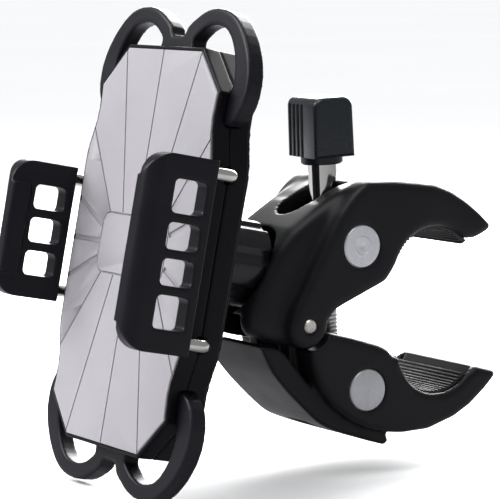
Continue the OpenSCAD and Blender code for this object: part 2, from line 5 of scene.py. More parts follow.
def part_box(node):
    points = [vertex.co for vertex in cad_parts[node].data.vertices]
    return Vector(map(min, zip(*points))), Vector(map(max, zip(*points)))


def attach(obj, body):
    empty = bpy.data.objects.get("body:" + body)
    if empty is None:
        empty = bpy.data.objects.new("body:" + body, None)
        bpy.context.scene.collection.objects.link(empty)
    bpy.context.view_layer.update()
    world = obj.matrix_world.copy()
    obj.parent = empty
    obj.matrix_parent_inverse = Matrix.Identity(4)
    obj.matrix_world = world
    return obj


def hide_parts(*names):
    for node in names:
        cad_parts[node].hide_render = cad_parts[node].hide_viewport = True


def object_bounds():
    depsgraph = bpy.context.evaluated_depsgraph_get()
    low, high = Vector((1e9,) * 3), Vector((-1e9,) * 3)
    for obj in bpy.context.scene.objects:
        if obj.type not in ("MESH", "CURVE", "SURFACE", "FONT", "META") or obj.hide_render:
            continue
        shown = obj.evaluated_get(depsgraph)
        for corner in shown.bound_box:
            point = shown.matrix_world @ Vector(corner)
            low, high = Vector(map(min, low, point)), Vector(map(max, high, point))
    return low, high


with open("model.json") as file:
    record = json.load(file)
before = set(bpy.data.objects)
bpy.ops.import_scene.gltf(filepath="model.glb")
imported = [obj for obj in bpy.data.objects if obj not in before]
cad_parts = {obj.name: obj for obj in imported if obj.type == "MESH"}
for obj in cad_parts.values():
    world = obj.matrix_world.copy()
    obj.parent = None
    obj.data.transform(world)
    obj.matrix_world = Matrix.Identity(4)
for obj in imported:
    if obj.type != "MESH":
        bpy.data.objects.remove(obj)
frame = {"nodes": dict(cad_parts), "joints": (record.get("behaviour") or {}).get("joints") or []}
cad_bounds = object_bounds()
nodes = frame["nodes"]

# ---- Camera, floor and studio light ----
# A long lens a little above the mount, looking past the phone side at the clamp.
# The floor is a wide pale sheet just under the lowest point, lit from a broad overhead source. Its colour
# turns dark grey for glossy rays: painted shade in its reflections.
camera = bpy.data.objects.new("camera", bpy.data.cameras.new("camera"))
camera.data.lens = 189.7
camera.data.sensor_width = 36
camera.data.clip_end = 200
camera.matrix_world = Matrix(((0.5320, -0.0903, 0.842, 0.5644),
                              (0.8467, 0.0568, -0.529, -0.4018),
                              (0.0, 0.9943, 0.107, 0.0980),
                              (0, 0, 0, 1)))
bpy.context.scene.collection.objects.link(camera)
bpy.context.scene.camera = camera
bpy.context.scene.view_settings.view_transform = "Standard"

floor_bm = bmesh.new()
bmesh.ops.create_grid(floor_bm, x_segments=1, y_segments=1, size=40,
                      matrix=Matrix.Translation((0, 0, cad_bounds[0][2] - 0.0005)))
floor_mesh = bpy.data.meshes.new("floor")
floor_bm.to_mesh(floor_mesh)
floor_bm.free()
floor = bpy.data.objects.new("floor", floor_mesh)
bpy.context.scene.collection.objects.link(floor)

world = bpy.data.worlds.new("studio")
world.use_nodes = True
world.node_tree.nodes["Background"].inputs["Color"].default_value = (0.93, 0.96, 1.0, 1)
world.node_tree.nodes["Background"].inputs["Strength"].default_value = 0.34
bpy.context.scene.world = world


def add_light(name, kind, energy, place, target, **settings):
    lamp = bpy.data.objects.new(name, bpy.data.lights.new(name, kind))
    lamp.data.energy = energy
    for key, value in settings.items():
        setattr(lamp.data, key, value)
    lamp.location = place
    lamp.rotation_euler = (Vector(target) - Vector(place)).to_track_quat("-Z", "Y").to_euler()
    bpy.context.scene.collection.objects.link(lamp)


add_light("overhead", "SUN", 2.5, (0.1, -0.3, 1), (0, 0, 0), angle=math.radians(50))
add_light("left_box", "AREA", 9, (-0.5, -0.7, 0.55), (0, -0.03, 0.02), size=0.5)
add_light("rim_box", "AREA", 16, (-0.45, 0.42, 0.36), (0, 0, 0.03), size=0.6)


# Fine moulded grain and slow clouding, shared by every finish
def input_and_output(group, sockets):
    for side, kind, name in sockets:
        group.interface.new_socket(name=name, in_out=side, socket_type=kind)


grain = bpy.data.node_groups.new("moulded_grain", "ShaderNodeTree")
input_and_output(grain, [("INPUT", "NodeSocketVector", "Place"),
                         ("INPUT", "NodeSocketFloat", "Grain scale"),
                         ("INPUT", "NodeSocketFloat", "Cloud scale"),
                         ("OUTPUT", "NodeSocketFloat", "Grain"),
                         ("OUTPUT", "NodeSocketFloat", "Cloud")])
gate_in = grain.nodes.new("NodeGroupInput")
gate_out = grain.nodes.new("NodeGroupOutput")
for label, detail in (("Grain", 2.0), ("Cloud", 3.0)):
    noise = grain.nodes.new("ShaderNodeTexNoise")
    noise.inputs["Detail"].default_value = detail
    grain.links.new(gate_in.outputs["Place"], noise.inputs["Vector"])
    grain.links.new(gate_in.outputs[label + " scale"], noise.inputs["Scale"])
    grain.links.new(noise.outputs["Fac"], gate_out.inputs[label])


def finish(name, dark, light, rough, grain_mm, depth_mm, cloud_mm=14, metallic=0.0, specular=0.5):
    """Plastic, rubber or metal: two close colours and two roughnesses that the clouding mixes."""
    made = bpy.data.materials.new(name)
    made.use_nodes = True
    tree = made.node_tree
    shader = tree.nodes["Principled BSDF"]
    shader.inputs["Metallic"].default_value = metallic
    shader.inputs["Specular IOR Level"].default_value = specular
    place = tree.nodes.new("ShaderNodeTexCoord")
    pattern = tree.nodes.new("ShaderNodeGroup")
    pattern.node_tree = grain
    pattern.inputs["Grain scale"].default_value = 1000 / grain_mm
    pattern.inputs["Cloud scale"].default_value = 1000 / cloud_mm
    tree.links.new(place.outputs["Object"], pattern.inputs["Place"])
    colour = tree.nodes.new("ShaderNodeMix")
    colour.data_type = "RGBA"
    colour.inputs["A"].default_value = (*dark, 1)
    colour.inputs["B"].default_value = (*light, 1)
    tree.links.new(pattern.outputs["Cloud"], colour.inputs["Factor"])
    tree.links.new(colour.outputs["Result"], shader.inputs["Base Color"])
    gloss = tree.nodes.new("ShaderNodeMapRange")
    gloss.inputs["From Min"].default_value = 0.3
    gloss.inputs["From Max"].default_value = 0.7
    gloss.inputs["To Min"].default_value = rough[0]
    gloss.inputs["To Max"].default_value = rough[1]
    tree.links.new(pattern.outputs["Cloud"], gloss.inputs["Value"])
    tree.links.new(gloss.outputs["Result"], shader.inputs["Roughness"])
    bump = tree.nodes.new("ShaderNodeBump")
    bump.inputs["Strength"].default_value = 1.0
    bump.inputs["Distance"].default_value = depth_mm / 1000
    tree.links.new(pattern.outputs["Grain"], bump.inputs["Height"])
    tree.links.new(bump.outputs["Normal"], shader.inputs["Normal"])
    return made


def dress(piece, material):
    piece.data.materials.clear()
    piece.data.materials.append(material)


paper = finish("floor_paper", (0.9, 0.9, 0.9), (0.93, 0.93, 0.93), (0.8, 0.9), 2, 0.01, 400)
sheet = paper.node_tree
pale = sheet.nodes["Principled BSDF"].inputs["Base Color"]
# Glossy rays see the floor as dark grey, a painted shade in its reflections; camera rays see it pale.
path = sheet.nodes.new("ShaderNodeLightPath")
floor_reflection_shade = sheet.nodes.new("ShaderNodeMix")
floor_reflection_shade.data_type = "RGBA"
floor_reflection_shade.inputs["B"].default_value = (0.3, 0.3, 0.31, 1)
sheet.links.new(path.outputs["Is Glossy Ray"], floor_reflection_shade.inputs["Factor"])
sheet.links.new(pale.links[0].from_socket, floor_reflection_shade.inputs["A"])
sheet.links.new(floor_reflection_shade.outputs["Result"], pale)
dress(floor, paper)

# ---- Lower clamp jaw ----
# A fibre-filled nylon casting with two side plates and a curved shield behind them.
# It is moulded in one piece, so every corner that the tool allows is rounded.
joint = {j["name"]: j for j in frame["joints"]}


def side_view(key):
    """A joint's place seen along the bar, as [y, z] in millimetres."""
    return joint[key]["pos_m"][1] * 1000, joint[key]["pos_m"][2] * 1000


BAR = Matrix(((0, 0, 1, 0), (1, 0, 0, 0), (0, 1, 0, 0), (0, 0, 0, 1)))
hinge_at, upper_at, lower_at = map(side_view, ("clamp_hinge", "upper_pivot_turn", "lower_pivot_turn"))
half_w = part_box("lower_jaw")[1].x * 1000
pivot_bore, pin_bore, lobe_r = 5.58, 1.82, 6.0
lobe_room, tongue_gap = 0.45, 0.4      # clearance round the lobes and beside the tongue
plate_t, hump_inset = 7.5, 3.5         # side plate thickness, and how far hump and shield stand in
screw_slot = 4.6                       # half width of the slot that the screw passes
plate_edge, shield_edge = 1.7, 0.7     # rounding of the outlines' rims
coarse, fine = 0.6, 0.42               # grid of the castings' first and last rounding
seat_rim, groove_rim = 1.4, 2.5        # walls left beside the liner's seat and its groove


def arc(centre, radius, start, end, steps):
    """Points along a circle, between two angles in degrees."""
    angles = [math.radians(start + (end - start) * i / steps) for i in range(steps + 1)]
    return [(centre[0] + radius * math.cos(a), centre[1] + radius * math.sin(a)) for a in angles]


def prism(points, low, high, edge=0.0, steps=3):
    """A flat outline extruded from low to high, its two rims rounded by edge."""
    bm = bmesh.new()
    base = bm.faces.new([bm.verts.new((x, y, low)) for x, y in points])
    grown = bmesh.ops.extrude_face_region(bm, geom=[base])["geom"]
    bmesh.ops.translate(bm, vec=(0, 0, high - low),
                        verts=[g for g in grown if isinstance(g, bmesh.types.BMVert)])
    bmesh.ops.recalc_face_normals(bm, faces=bm.faces)
    if edge:
        rims = [e for e in bm.edges if abs(e.verts[0].co.z - e.verts[1].co.z) < 1e-6]
        bmesh.ops.bevel(bm, geom=rims, offset=edge, offset_type="OFFSET", affect="EDGES",
                        segments=steps, profile=0.5, material=-1, clamp_overlap=False)
    return bm


def rod(radius, low, high, at=(0, 0), sides=64):
    """A plain cylinder along the local z."""
    bm = bmesh.new()
    bmesh.ops.create_cone(bm, cap_ends=True, segments=sides, radius1=radius, radius2=radius,
                          depth=high - low, matrix=Matrix.Translation((*at, (low + high) / 2)))
    return bm


def moved(bm, matrix):
    bmesh.ops.transform(bm, matrix=matrix, verts=bm.verts)
    return bm


def body(name, *parts):
    """One object from several closed shapes, still in millimetres."""
    whole = bmesh.new()
    for part in parts:
        loose = bpy.data.meshes.new("part")
        part.to_mesh(loose)
        part.free()
        whole.from_mesh(loose)
        bpy.data.meshes.remove(loose)
    mesh = bpy.data.meshes.new(name)
    whole.to_mesh(mesh)
    whole.free()
    piece = bpy.data.objects.new(name, mesh)
    bpy.context.scene.collection.objects.link(piece)
    return piece


def change(piece, kind, **settings):
    """Adds one modifier and applies it."""
    step = piece.modifiers.new(kind.lower(), kind)
    for key, value in settings.items():
        setattr(step, key, value)
    bpy.context.view_layer.update()
    view = bpy.context.evaluated_depsgraph_get()
    done = bpy.data.meshes.new_from_object(piece.evaluated_get(view))
    piece.modifiers.clear()
    piece.data = done


def soften(piece, voxel, passes, where=None):
    """Melts the shapes together and rounds their corners; where gives each point its share."""
    change(piece, "REMESH", mode="VOXEL", voxel_size=voxel)
    if where:
        group = piece.vertex_groups.new(name="soft")
        for v in piece.data.vertices:
            group.add([v.index], where(v.co), "REPLACE")
    change(piece, "SMOOTH", factor=0.5, iterations=passes, vertex_group="soft" if where else "")
    piece.vertex_groups.clear()


def cut(piece, *cutters, operation="DIFFERENCE"):
    """Takes each shape away from the piece, or joins or keeps what they share."""
    for cutter in cutters:
        tool = body("cutter", cutter)
        change(piece, "BOOLEAN", operation=operation, solver="EXACT", object=tool)
        bpy.data.objects.remove(tool)


def settle(piece, place=Matrix.Identity(4), sharp=40):
    """From millimetres in a local frame to metres in the shared one."""
    piece.data.transform(Matrix.Scale(0.001, 4) @ place)
    piece.data.polygons.foreach_set("use_smooth", [True] * len(piece.data.polygons))
    piece.data.set_sharp_from_angle(angle=math.radians(sharp))


def hand_over(piece, material, rider, node):
    """Finishes a piece, ties it to its body and hides the solid it stands for."""
    dress(piece, material)
    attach(piece, rider)
    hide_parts(node)


lower_side = arc((0, 0), 12.3, 188, 319, 14) + [
    (12.7, -6.3), (18.4, -7.8), (19.4, -8.8), (16.1, -12.2), (10.7, -16.5), (5.4, -19.3),
    (-2.6, -21.7), (-10.5, -22), (-15.8, -21.4), (-22, -19.8), (-27.4, -17.1), (-32.7, -13.1),
    (-36.4, -8.4), (-38.6, -3.2), (-39.4, 0.6), (-41, 6), (-35, 6), (-33.4, 5.8), (-26.2, 4),
    (-18.5, 1.7), (-15.9, 0.5), (-13.8, -1.8)]
shield_side = [(-52.4, 3.3), (-49.3, -2.8), (-46, -7), (-42.3, -10.8), (-35.3, -17.2), (-30.3, -19.9),
               (-20.9, -23.2), (-14.7, -25.1), (-13.4, -24.2), (-14.6, -20.6), (-21.5, -18.4),
               (-30.6, -13.4), (-36.8, -8.2), (-41.4, -3.4), (-45.8, 1.6), (-48.6, 2.9)]


def flowing(points, steps=4):
    """A smooth line through the points."""
    line = []
    ends = [points[0]] + points + [points[-1]]
    for a, b, c, d in zip(ends, ends[1:], ends[2:], ends[3:]):
        for i in range(steps):
            t = i / steps
            line.append(tuple(0.5 * (
                2 * b[k] + (c[k] - a[k]) * t + (2 * a[k] - 5 * b[k] + 4 * c[k] - d[k]) * t * t
                + (3 * b[k] - a[k] - 3 * c[k] + d[k]) * t ** 3) for k in (0, 1)))
    return line + [points[-1]]


shield_side = flowing(shield_side[:8]) + shield_side[8:10] + flowing(shield_side[10:])
tongue_side = [(-41.5, 4), (-36, 4), (-29, -16), (-38, -14.5), (-41.5, -5)]
hollow_side = [(-60, 20), (-60, -12.5), (-31, -12.5), (-21, -15.4), (-15.6, -17), (-15.6, 20)]
inner_w = half_w - plate_t
hump_w = half_w - hump_inset


def slot_to(bottom):
    """The screw's slot between the plates, down to a height."""
    return prism([(-33, -4), (-33, bottom), (-13.8, bottom), (-15.5, -4)], -screw_slot, screw_slot)


def liner_seat(centre, seat, groove):
    """The seat of a ribbed liner, and a deeper groove that its flange snaps into."""
    return (rod(seat, -half_w + seat_rim, half_w - seat_rim, centre, 96),
            rod(groove, -half_w + groove_rim, half_w - groove_rim, centre, 96))


lower_casting = body("lower_casting", prism(lower_side, -half_w, half_w, plate_edge))
soften(lower_casting, coarse, 5)
cut(lower_casting,
    prism(hollow_side, -inner_w, inner_w),
    rod(lobe_r + lobe_room, inner_w - tongue_gap, half_w + 1, hinge_at),
    rod(lobe_r + lobe_room, -half_w - 1, -inner_w + tongue_gap, hinge_at),
    rod(pivot_bore, -half_w - 1, half_w + 1, lower_at),
    *liner_seat((0, 0), 13.2, 14),
    slot_to(-16))
for side in (-1, 1):
    low, high = sorted((side * screw_slot, side * (inner_w - tongue_gap)))
    cut(lower_casting, prism(tongue_side, low, high), rod(lobe_r - 0.6, low, high, hinge_at),
        operation="UNION")
cut(lower_casting, prism(shield_side, -hump_w, hump_w, shield_edge), operation="UNION")
cut(lower_casting, slot_to(-30), rod(pin_bore, -half_w, half_w, hinge_at))
soften(lower_casting, fine, 3)
change(lower_casting, "DECIMATE", ratio=0.5)
settle(lower_casting, BAR)
casting_black = finish("casting_black", (0.0045, 0.0045, 0.0055), (0.0065, 0.0065, 0.008), (0.36, 0.44),
                       0.35, 0.006, specular=0.16)
hand_over(lower_casting, casting_black, "lower_clamp", "lower_jaw")

# ---- Ribbed rubber liner of the lower jaw ----
# A strip of moulded rubber pushed into the casting's seat, with fine ribs that run along the bar.
# Its back is smooth, and the ribs come out as a row of small teeth at each end.
liner_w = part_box("lower_liner")[1].x * 1000


def ribbed_strip(name, centre, crest, back, start, end, teeth):
    """A curved strip around a centre, ribbed on its inner face from one angle to another."""
    ribs, step, valley = [], (end - start) / teeth, crest + 0.5
    for i in range(teeth):
        a = start + (end - start) * (i + 0.5) / teeth
        ribs += arc(centre, valley, a - 0.5 * step, a - 0.3 * step, 1)
        ribs += arc(centre, crest, a - 0.2 * step, a + 0.2 * step, 2)
        ribs += arc(centre, valley, a + 0.3 * step, a + 0.5 * step, 1)[:1]
    piece = body(name, prism(ribs + arc(centre, back, end, start, 30), -liner_w, liner_w))
    change(piece, "BEVEL", width=0.09, segments=2, limit_method="ANGLE", angle_limit=math.radians(25))
    settle(piece, BAR)
    return piece


lower_grip = ribbed_strip("lower_grip", (0, 0), 12.02, 13.95, 188, 320, 26)
grip_black = finish("grip_black", (0.011, 0.011, 0.012), (0.02, 0.02, 0.021), (0.55, 0.75), 0.25, 0.01,
                    cloud_mm=5)
hand_over(lower_grip, grip_black, "lower_clamp", "lower_liner")

# ---- Hinge pin ----
# A plain steel pin driven through both castings, its sheared ends dressed with a file.
# The near end stands a little proud of the lobe.


def lathe(profile, steps=96):
    """A turned shape: profile is [radius, height] from one end of the axis to the other."""
    bm = bmesh.new()
    ring = [bm.verts.new((r, 0, h)) for r, h in profile]
    edges = [bm.edges.new(pair) for pair in zip(ring, ring[1:])]
    bmesh.ops.spin(bm, geom=ring + edges, cent=(0, 0, 0), axis=(0, 0, 1), angle=2 * math.pi,
                   steps=steps, use_merge=True)
    bmesh.ops.remove_doubles(bm, verts=bm.verts, dist=1e-5)
    bmesh.ops.recalc_face_normals(bm, faces=bm.faces)
    return bm


pin_r = 1.8
pin = body("steel_pin", moved(lathe([
    (0, -half_w + 0.2), (pin_r - 0.3, -half_w + 0.2), (pin_r, -half_w + 0.5), (pin_r, half_w - 0.15),
    (pin_r - 0.35, half_w + 0.2), (0.9, half_w + 0.12), (0.4, half_w + 0.18), (0, half_w + 0.1)]),
    Matrix.Translation((*hinge_at, 0))))
settle(pin, BAR)
steel_rough = finish("steel_rough", (0.42, 0.40, 0.36), (0.86, 0.84, 0.78), (0.22, 0.5), 0.5, 0.1,
                     cloud_mm=0.9, metallic=1.0)
hand_over(pin, steel_rough, "lower_clamp", "hinge_pin")

# ---- Upper clamp jaw ----
# The second casting: an arm over the bar, two side plates and a hump that holds the ball joint.
# The plates flow into the hump over a wide fillet, and the screw swings in a long slot on top.
cradle_n = Vector(joint["cradle_spin"]["axis"])
ball_at = Vector(joint["cradle_spin"]["pos_m"]) * 1000
across = Vector((1, 0, 0))
cradle_v = cradle_n.cross(across)
ball_back = 32.0


def turned_frame(x, y, z, at):
    """A frame from its three directions and its place."""
    return Matrix(((x.x, y.x, z.x, at.x), (x.y, y.y, z.y, at.y), (x.z, y.z, z.z, at.z),
                   (0, 0, 0, 1)))


CRADLE = turned_frame(across, cradle_v, cradle_n, ball_at + ball_back * cradle_n)
BALL = BAR.inverted() @ turned_frame(across, -cradle_v, -cradle_n, ball_at)
upper_seat = (-0.7, 18.25)
upper_side = arc(upper_seat, 12.8, 163, 45, 12) + [
    (12.4, 27.4), (16.7, 29.3), (17.7, 30.5), (15.6, 32.4), (12.9, 34.7), (9.1, 37.5), (4.2, 40.3),
    (-0.6, 42.1), (-5.8, 42.8), (-13.1, 43.6), (-22.4, 43.9), (-25.4, 41.9), (-27.6, 39.8),
    (-30.9, 36), (-34.3, 30.8), (-36.7, 26.6), (-39.4, 21.8), (-42, 17), (-44.4, 13)] + arc(
    hinge_at, lobe_r, 175, 368, 18) + [(-31.4, 11.6), (-16.1, 17.8)]
hump_side = [(-21.8, 43), (-25.4, 42), (-29.1, 40.4), (-32.9, 38.2), (-36.8, 35.8), (-42.4, 32.2),
             (-47.2, 27.8), (-51, 22), (-54.4, 16), (-56.3, 11.6), (-56.4, 8.6), (-55.2, 6.2),
             (-51, 4.5), (-45.8, 3.1), (-41.5, 2.2), (-38, 8), (-31.5, 13), (-31.5, 20), (-15, 24),
             (-14, 42.6)]
saddle_side = [(-15.5, 50), (-17.5, 43.4), (-21.8, 42.6), (-25.4, 41.6), (-29.1, 40), (-32.9, 37.8),
               (-34, 50)]
inside_side = [(-60, -5), (-60, 11), (-32.6, 12), (-32.9, 32), (-29.5, 35.6), (-25, 37), (-14.8, 37),
               (-15.4, -5)]
top_slot_half, top_slot_front = 5.6, -20.6
top_slot = arc((-32.2, 0), top_slot_half, 90, 270, 16) + [
    (top_slot_front, -top_slot_half), (top_slot_front, top_slot_half)]
recess_r, flange_r, stud_r, stud_nut_r = 12.1, 6.28, 3.02, 6.2
upper_casting = body("upper_casting", prism(upper_side, -half_w, half_w, 2.0, 4),
                     prism(hump_side, -hump_w, hump_w, 3.0, 4))
soften(upper_casting, coarse, 2)
cut(upper_casting, prism(saddle_side, -10.5, 10.5))
soften(upper_casting, coarse, 5)


def near_hump_fillet(co):
    """Full share where a side plate meets the hump, fading out on every side."""
    wide, high, back = abs(co.z), co.y, -co.x
    shares = (wide - 6) / 4, (16.8 - wide) / 2, (high - 10) / 4, (back - 16) / 5
    return math.prod(min(1, max(0, share)) for share in shares)


soften(upper_casting, coarse, 22, near_hump_fillet)
cut(upper_casting,
    prism(inside_side, -inner_w, inner_w),
    rod(lobe_r + lobe_room, -inner_w, inner_w, hinge_at),
    rod(pivot_bore, -half_w - 1, half_w + 1, upper_at),
    *liner_seat(upper_seat, 13.1, 13.9),
    moved(prism(top_slot, 32, 50), Matrix.Rotation(-math.pi / 2, 4, "X")),
    moved(rod(flange_r, 0, recess_r + 1.5), BALL),
    moved(rod(stud_r, 0, 26), BALL),
    moved(rod(stud_nut_r, recess_r + 5.1, 26), BALL))
recess = bmesh.new()
bmesh.ops.create_uvsphere(recess, u_segments=64, v_segments=32, radius=recess_r)
mouth = bmesh.new()
bmesh.ops.create_cone(mouth, cap_ends=True, segments=64, radius1=17.3, radius2=recess_r + 0.35,
                      depth=12, matrix=Matrix.Translation((0, 0, -6)))
cut(upper_casting, moved(recess, BALL), moved(mouth, BALL),
    rod(pin_bore, -half_w - 1, half_w + 1, hinge_at))
soften(upper_casting, fine, 3)
change(upper_casting, "DECIMATE", ratio=0.45)
settle(upper_casting, BAR)
hand_over(upper_casting, casting_black, "upper_clamp", "upper_jaw")

# ---- Ribbed rubber liner of the upper jaw ----
# The same moulded strip as below, bent to the upper seat.
# It has fewer ribs, because the upper seat covers less of the bar.
upper_grip = ribbed_strip("upper_grip", upper_seat, 11.95, 13.86, 38, 150, 22)
hand_over(upper_grip, grip_black, "upper_clamp", "upper_liner")

# ---- Two cross bars ----
# Aluminium bar turned to size and faced off, so the ends carry fine concentric tool marks.
# The screw runs through both, and each turns a little in its bores as the jaws close.
pivot_r, pivot_end = 5.5, half_w - 0.1
flat_depth, flat_cutter = 4.6, [(-5, -8), (5, -8), (5, 8), (-5, 8)]
screw_axis = -Vector(joint["knob_turn"]["axis"])
SCREW = turned_frame(across, screw_axis.cross(across), screw_axis, Vector((0, *upper_at)))
IN_BAR = BAR.inverted() @ SCREW
screw_span = math.dist(upper_at, lower_at)

rings = bpy.data.node_groups.new("turned_rings", "ShaderNodeTree")
input_and_output(rings, [("INPUT", "NodeSocketVector", "Place"),
                         ("INPUT", "NodeSocketFloat", "Pitch"),
                         ("OUTPUT", "NodeSocketFloat", "Rings"),
                         ("OUTPUT", "NodeSocketFloat", "Spokes")])
gate_in = rings.nodes.new("NodeGroupInput")
gate_out = rings.nodes.new("NodeGroupOutput")
flat = rings.nodes.new("ShaderNodeVectorMath")
flat.operation = "MULTIPLY"
flat.inputs[1].default_value = (0, 1, 1)
radius = rings.nodes.new("ShaderNodeVectorMath")
radius.operation = "LENGTH"
scaled = rings.nodes.new("ShaderNodeMath")
scaled.operation = "DIVIDE"
uneven = rings.nodes.new("ShaderNodeTexNoise")
uneven.noise_dimensions = "1D"
uneven.inputs["Scale"].default_value = 1.0
uneven.inputs["Detail"].default_value = 3.0
round_about = rings.nodes.new("ShaderNodeVectorMath")
round_about.operation = "NORMALIZE"
smear = rings.nodes.new("ShaderNodeTexNoise")
smear.inputs["Scale"].default_value = 2.4
smear.inputs["Detail"].default_value = 4.0
rings.links.new(gate_in.outputs["Place"], flat.inputs[0])
rings.links.new(flat.outputs["Vector"], radius.inputs[0])
rings.links.new(radius.outputs["Value"], scaled.inputs[0])
rings.links.new(gate_in.outputs["Pitch"], scaled.inputs[1])
rings.links.new(scaled.outputs["Value"], uneven.inputs["W"])
rings.links.new(uneven.outputs["Fac"], gate_out.inputs["Rings"])
rings.links.new(flat.outputs["Vector"], round_about.inputs[0])
rings.links.new(round_about.outputs["Vector"], smear.inputs["Vector"])
rings.links.new(smear.outputs["Fac"], gate_out.inputs["Spokes"])


def turned_metal(name, centre, pitch_mm, tone):
    """Faced aluminium: uneven rings about a centre [y, z], with smears that run outwards."""
    made = bpy.data.materials.new(name)
    made.use_nodes = True
    tree = made.node_tree
    shader = tree.nodes["Principled BSDF"]
    shader.inputs["Metallic"].default_value = 1.0
    place = tree.nodes.new("ShaderNodeTexCoord")
    centred = tree.nodes.new("ShaderNodeMapping")
    centred.inputs["Location"].default_value = (0, -centre[0] / 1000, -centre[1] / 1000)
    marks = tree.nodes.new("ShaderNodeGroup")
    marks.node_tree = rings
    marks.inputs["Pitch"].default_value = pitch_mm / 1000
    tree.links.new(place.outputs["Object"], centred.inputs["Vector"])
    tree.links.new(centred.outputs["Vector"], marks.inputs["Place"])
    colour = tree.nodes.new("ShaderNodeMix")
    colour.data_type = "RGBA"
    colour.inputs["A"].default_value = (0.78 * tone, 0.78 * tone, 0.81 * tone, 1)
    colour.inputs["B"].default_value = (tone, tone, 1.04 * tone, 1)
    tree.links.new(marks.outputs["Spokes"], colour.inputs["Factor"])
    tree.links.new(colour.outputs["Result"], shader.inputs["Base Color"])
    gloss = tree.nodes.new("ShaderNodeMapRange")
    gloss.inputs["To Min"].default_value = 0.26
    gloss.inputs["To Max"].default_value = 0.5
    tree.links.new(marks.outputs["Rings"], gloss.inputs["Value"])
    tree.links.new(gloss.outputs["Result"], shader.inputs["Roughness"])
    bump = tree.nodes.new("ShaderNodeBump")
    bump.inputs["Strength"].default_value = 1.0
    bump.inputs["Distance"].default_value = 0.00006
    tree.links.new(marks.outputs["Rings"], bump.inputs["Height"])
    tree.links.new(bump.outputs["Normal"], shader.inputs["Normal"])
    return made


def cross_bar(name, place, face):
    """A bar with the same turned face, given from its centre out to the rim, on both ends."""
    far = [(r, -pivot_end - h) for r, h in face]
    near = [(r, pivot_end + h) for r, h in reversed(face)]
    bar = lathe(far + [(pivot_r, -pivot_end + 0.35), (pivot_r, pivot_end - 0.35)] + near)
    return body(name, moved(bar, Matrix.Translation((*place, 0))))


upper_bar = cross_bar("upper_cross_bar", upper_at, [
    (0, -0.35), (0.5, -0.12), (1.9, -0.12), (2.15, 0.0), (2.55, 0.0), (2.75, -0.1), (5.0, -0.1),
    (5.25, -0.12)])
screw_bore, nut_thread_bore = 3.08, 3.35
cut(upper_bar, moved(rod(screw_bore, -7, 7, sides=48), IN_BAR),
    moved(prism(flat_cutter, flat_depth, 8), IN_BAR), moved(prism(flat_cutter, -8, -flat_depth), IN_BAR))
settle(upper_bar, BAR, 25)
hand_over(upper_bar, turned_metal("turned_upper", upper_at, 0.16, 0.85),
          "upper_pivot", "upper_pivot_bar")

lower_bar = cross_bar("lower_cross_bar", lower_at, [
    (0, -0.4), (0.35, -0.1), (4.9, 0.0), (5.2, -0.06)])
cut(lower_bar, moved(rod(nut_thread_bore, -screw_span - 7, -screw_span + 7, sides=48), IN_BAR))
settle(lower_bar, BAR, 25)
hand_over(lower_bar, turned_metal("turned_lower", lower_at, 0.12, 0.6),
          "lower_pivot", "lower_pivot_bar")

# ---- Clamp screw, sleeve and ring ----
# A rolled steel thread from the lower bar up to a plain shank inside a bright plated sleeve.
# The ring under the upper bar keeps the screw from lifting out.
sleeve_top = 20.1
pitch, per_turn = 1.0, 24
root_r, crest_r, shank_r = 2.42, 3.0, 2.98
thread_low, thread_high = -screw_span - 5.4, -5.8
thread = bmesh.new()
ridge = [thread.verts.new(p) for p in (
    (root_r - 0.12, 0, -0.42), (crest_r, 0, -0.05), (crest_r, 0, 0.05), (root_r - 0.12, 0, 0.42))]
loop = [thread.edges.new((ridge[i], ridge[(i + 1) % 4])) for i in range(4)]
turns = int((thread_high - thread_low) / pitch)
thread.faces.new(ridge)
bmesh.ops.spin(thread, geom=ridge + loop + thread.faces[:], cent=(0, 0, 0), axis=(0, 0, 1),
               dvec=(0, 0, pitch / per_turn), angle=2 * math.pi * turns, steps=per_turn * turns)
bmesh.ops.remove_doubles(thread, verts=thread.verts, dist=1e-5)
bmesh.ops.recalc_face_normals(thread, faces=thread.faces)
moved(thread, Matrix.Translation((0, 0, thread_low)))
screw_low, screw_high = -screw_span - 5.8, sleeve_top + 9.7
core = lathe([(0, screw_low), (root_r - 0.22, screw_low), (root_r, screw_low + 0.3), (root_r, -5.4),
              (shank_r, -5.0), (shank_r, screw_high), (0, screw_high)], 48)
screw = body("clamp_thread", thread, core)
settle(screw, SCREW, 30)
thread_steel = finish("thread_steel", (0.5, 0.49, 0.47), (0.8, 0.79, 0.77), (0.2, 0.38), 0.4, 0.01,
                      cloud_mm=3, metallic=1.0)
hand_over(screw, thread_steel, "screw", "clamp_screw")

sleeve_r, sleeve_bore, sleeve_end = 3.63, 3.02, sleeve_top - 0.02
sleeve = body("bright_sleeve", lathe([
    (sleeve_bore, flat_depth), (sleeve_r - 0.15, flat_depth), (sleeve_r, flat_depth + 0.15),
    (sleeve_r, sleeve_end), (sleeve_bore, sleeve_end), (sleeve_bore, flat_depth)]))
settle(sleeve, SCREW, 30)
bright_plate = finish("bright_plate", (0.60, 0.585, 0.56), (0.7, 0.685, 0.66), (0.06, 0.12), 3, 0.004,
                      cloud_mm=5, metallic=1.0)
hand_over(sleeve, bright_plate, "screw", "spacer_sleeve")

dress(nodes["retaining_ring"], thread_steel)

